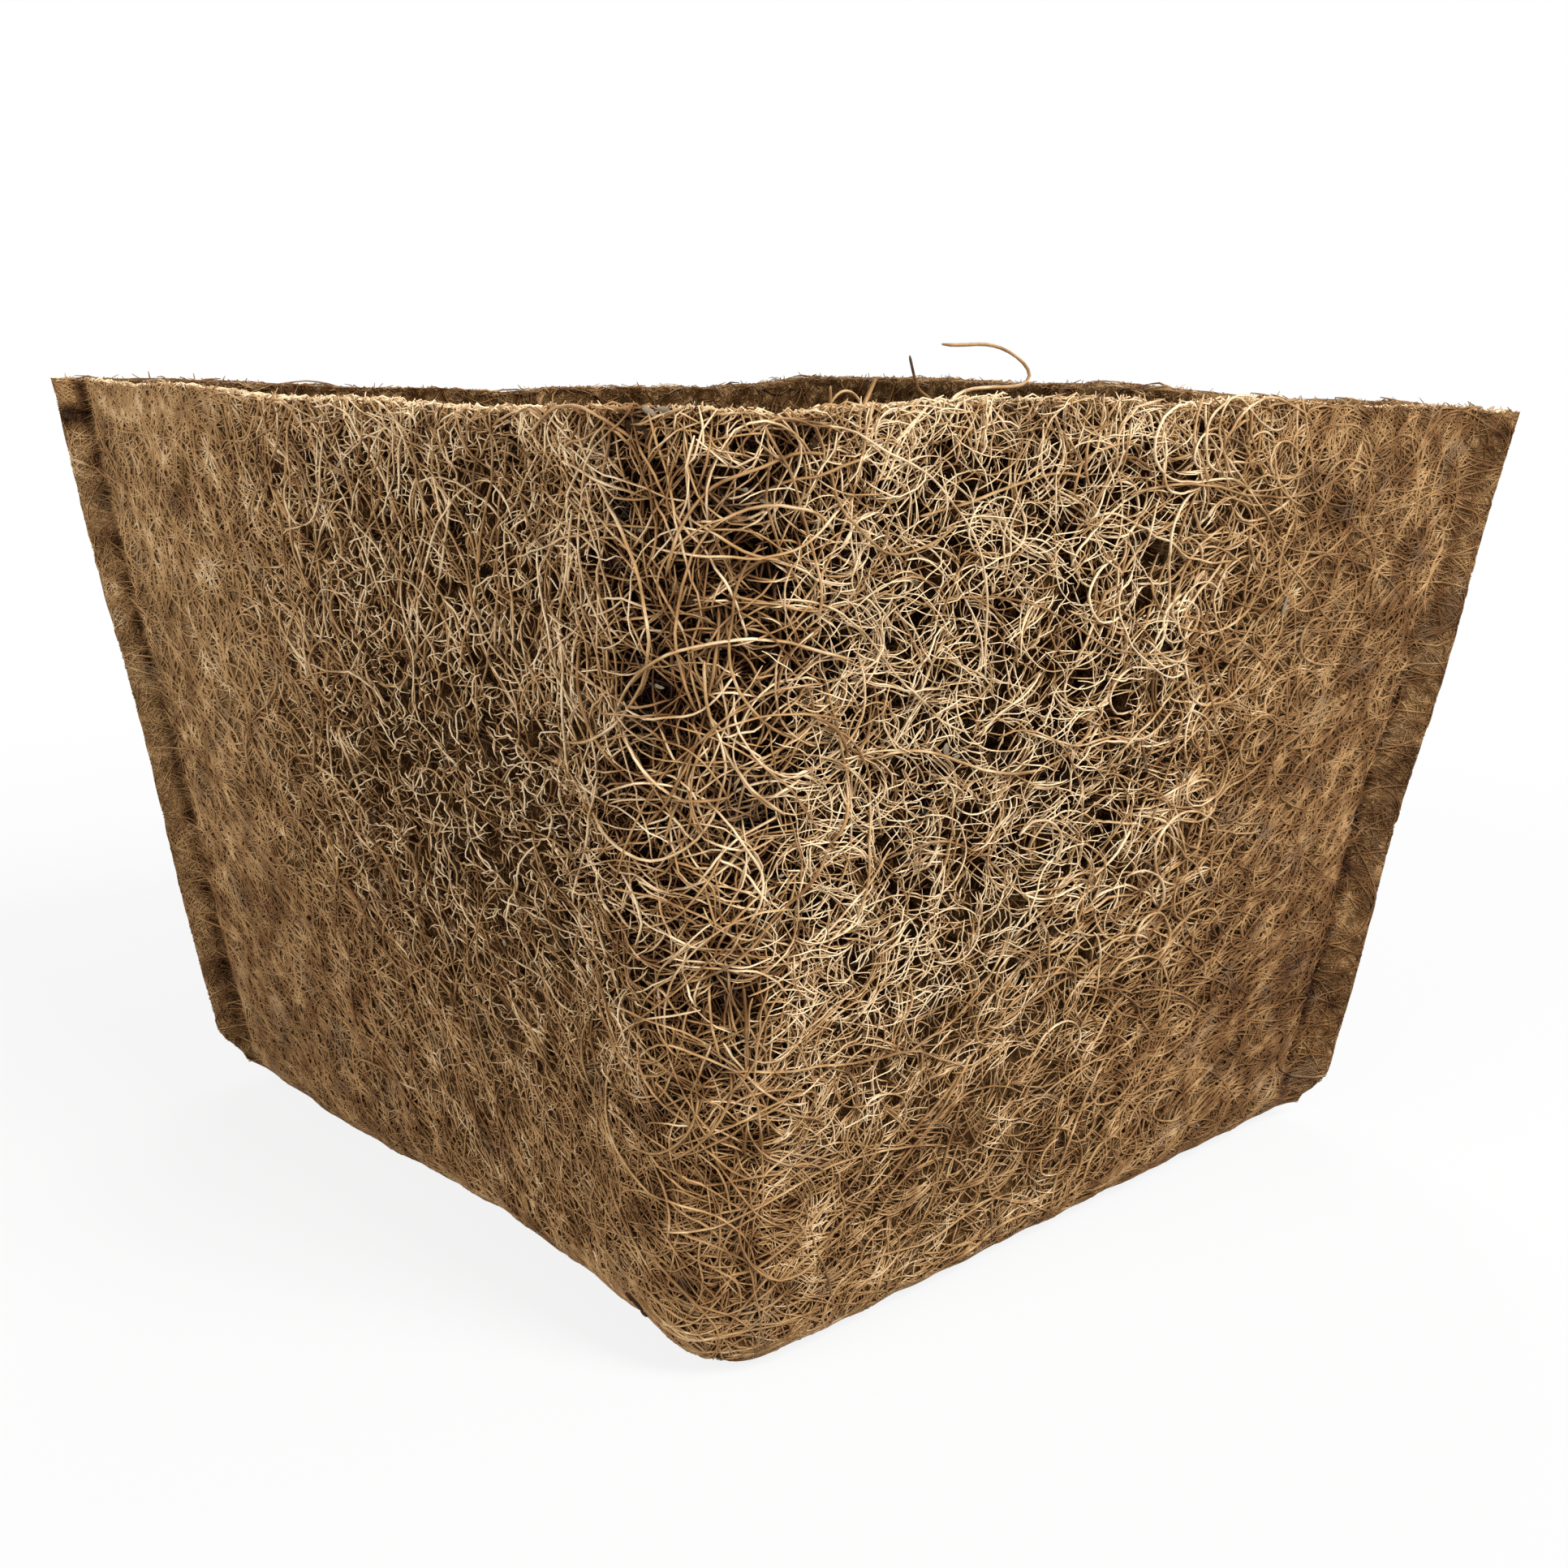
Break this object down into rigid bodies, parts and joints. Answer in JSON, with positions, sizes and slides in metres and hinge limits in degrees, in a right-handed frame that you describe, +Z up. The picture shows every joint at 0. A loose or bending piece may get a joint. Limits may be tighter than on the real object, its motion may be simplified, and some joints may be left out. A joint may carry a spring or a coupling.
{
  "type": "coir pond basket",
  "caption": "Square tapered planting basket of latex-bonded coconut fibre mat, with folded and sewn corners and a sewn-in base, open at the top.",
  "frame": {"origin": "middle of the underside, where the basket stands", "axes": "+Z up; the walls are parallel to X and Y, the folded front corner is at -X -Y and the sewn corners at +X -Y and -X +Y"},
  "size_m": [0.1444, 0.1444, 0.1],
  "materials": {
    "coir_mat": "matte, loose coconut fibres bonded with latex",
    "sewing_thread": "matte twisted twine"
  },
  "bodies": {
    "root": {"front_wall_mat": "coir_mat", "rear_wall_mat": "coir_mat", "base_mat": "coir_mat", "left_seam_needle_thread": "sewing_thread", "left_seam_bobbin_thread": "sewing_thread", "right_seam_needle_thread": "sewing_thread", "right_seam_bobbin_thread": "sewing_thread", "front_hem_needle_thread": "sewing_thread", "front_hem_bobbin_thread": "sewing_thread", "rear_hem_needle_thread": "sewing_thread", "rear_hem_bobbin_thread": "sewing_thread"}
  },
  "joints": []
}
